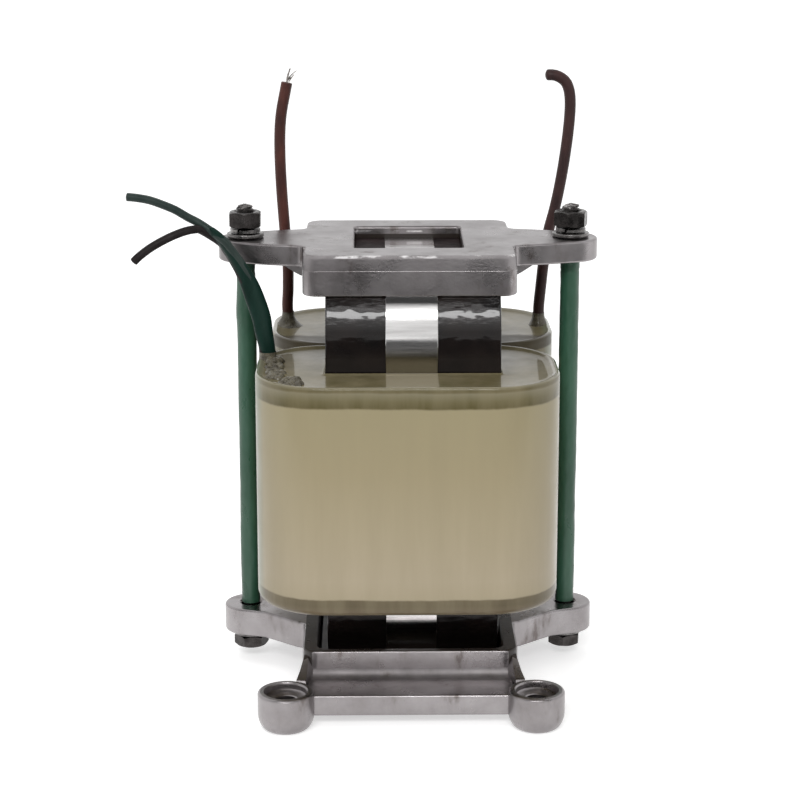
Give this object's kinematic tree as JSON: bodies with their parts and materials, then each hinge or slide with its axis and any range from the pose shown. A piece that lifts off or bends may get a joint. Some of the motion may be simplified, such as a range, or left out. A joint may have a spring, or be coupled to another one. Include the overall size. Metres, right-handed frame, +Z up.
{
  "type": "high-voltage transformer",
  "caption": "Cut-core high-voltage transformer with potted coils, cast aluminium clamps drawn together by long sleeved bolts, lugged feet and flying leads.",
  "frame": {"origin": "middle of the four feet, on the surface that they stand on", "axes": "+Z up along the bolts, +X to the right from bolt to bolt, +Y to the back from the front coil to the rear coil"},
  "size_m": [0.1514, 0.1442, 0.1959],
  "materials": {
    "cast_aluminium": "cast and lightly polished, with a fine grain",
    "core_varnish": "glossy black varnish over wound strip",
    "bright_steel": "bright rolled strip",
    "fastener_steel": "plain stainless steel",
    "dark_steel": "dull stainless steel, slightly stained",
    "winding": "cream insulating wrap, soaked in resin",
    "potting_resin": "clear yellowish casting resin with a glossy skin",
    "insulation_board": "varnished insulation board",
    "green_sleeve": "satin heat-shrink sleeve",
    "green_sheath": "satin green insulation",
    "brown_lead": "matte brown rubber insulation",
    "dark_lead": "matte dark brown insulation",
    "tinned_wire": "tinned copper strands"
  },
  "bodies": {
    "root": {"top_clamp": "cast_aluminium", "bottom_clamp": "cast_aluminium", "core_upper": "core_varnish", "core_lower": "core_varnish", "gap_shim_front": "insulation_board", "gap_shim_rear": "insulation_board", "core_band": "bright_steel", "band_seal": "bright_steel", "front_coil_former": "insulation_board", "rear_coil_former": "insulation_board", "front_coil_winding": "winding", "rear_coil_winding": "winding", "front_coil_resin": "potting_resin", "rear_coil_resin": "potting_resin", "front_coil_pad": "insulation_board", "rear_coil_pad": "insulation_board", "tie_bolt_left": "fastener_steel", "tie_bolt_right": "fastener_steel", "top_nut_left": "dark_steel", "top_nut_right": "dark_steel", "spring_washer_left": "fastener_steel", "spring_washer_right": "fastener_steel", "top_washer_left": "fastener_steel", "top_washer_right": "fastener_steel", "bottom_washer_left": "fastener_steel", "bottom_washer_right": "fastener_steel", "bolt_sleeve_left": "green_sleeve", "bolt_sleeve_right": "green_sleeve", "hv_lead_left": "brown_lead", "hv_lead_left_strands": "tinned_wire", "hv_lead_right": "brown_lead", "lv_sheath": "green_sheath", "lv_lead_green": "green_sheath", "lv_lead_dark": "dark_lead"}
  },
  "joints": []
}
